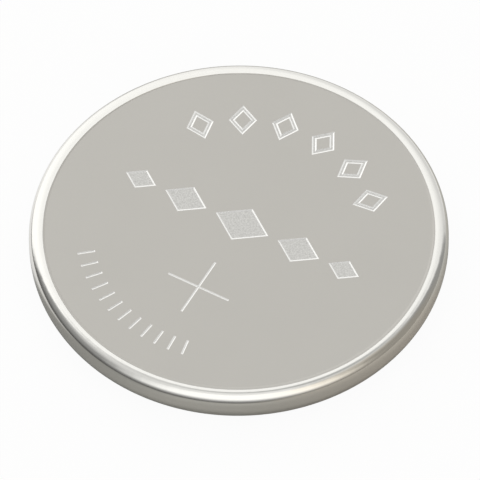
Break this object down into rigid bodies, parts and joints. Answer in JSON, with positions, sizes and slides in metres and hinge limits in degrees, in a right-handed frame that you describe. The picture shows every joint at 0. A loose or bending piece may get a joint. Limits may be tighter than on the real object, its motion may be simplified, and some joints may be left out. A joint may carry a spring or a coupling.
{
  "type": "lithium coin cell",
  "caption": "Round, flat lithium coin cell: a satin steel can with a polished rim, crimped over a stepped cap.",
  "frame": {"origin": "centre of the negative terminal's flat face, on which the cell lies", "axes": "+Z out of the positive terminal; +X and +Y lie in the face, with the polarity cross towards -Y"},
  "size_m": [0.0125, 0.0124, 0.0016],
  "materials": {
    "can_steel": "satin face with frosted etched marks, polished rim and wall",
    "cap_steel": "fine satin, drawn",
    "gasket_plastic": "moulded, slightly waxy",
    "cathode_mix": "pressed powder, matt",
    "ring_steel": "plain rolled sheet",
    "separator_felt": "non-woven polymer felt",
    "lithium": "soft rolled foil, dull silver"
  },
  "bodies": {
    "root": {"positive_can": "can_steel", "negative_cap": "cap_steel", "gasket": "gasket_plastic", "cathode_pellet": "cathode_mix", "collector_ring": "ring_steel", "separator": "separator_felt", "lithium_disc": "lithium"}
  },
  "joints": []
}
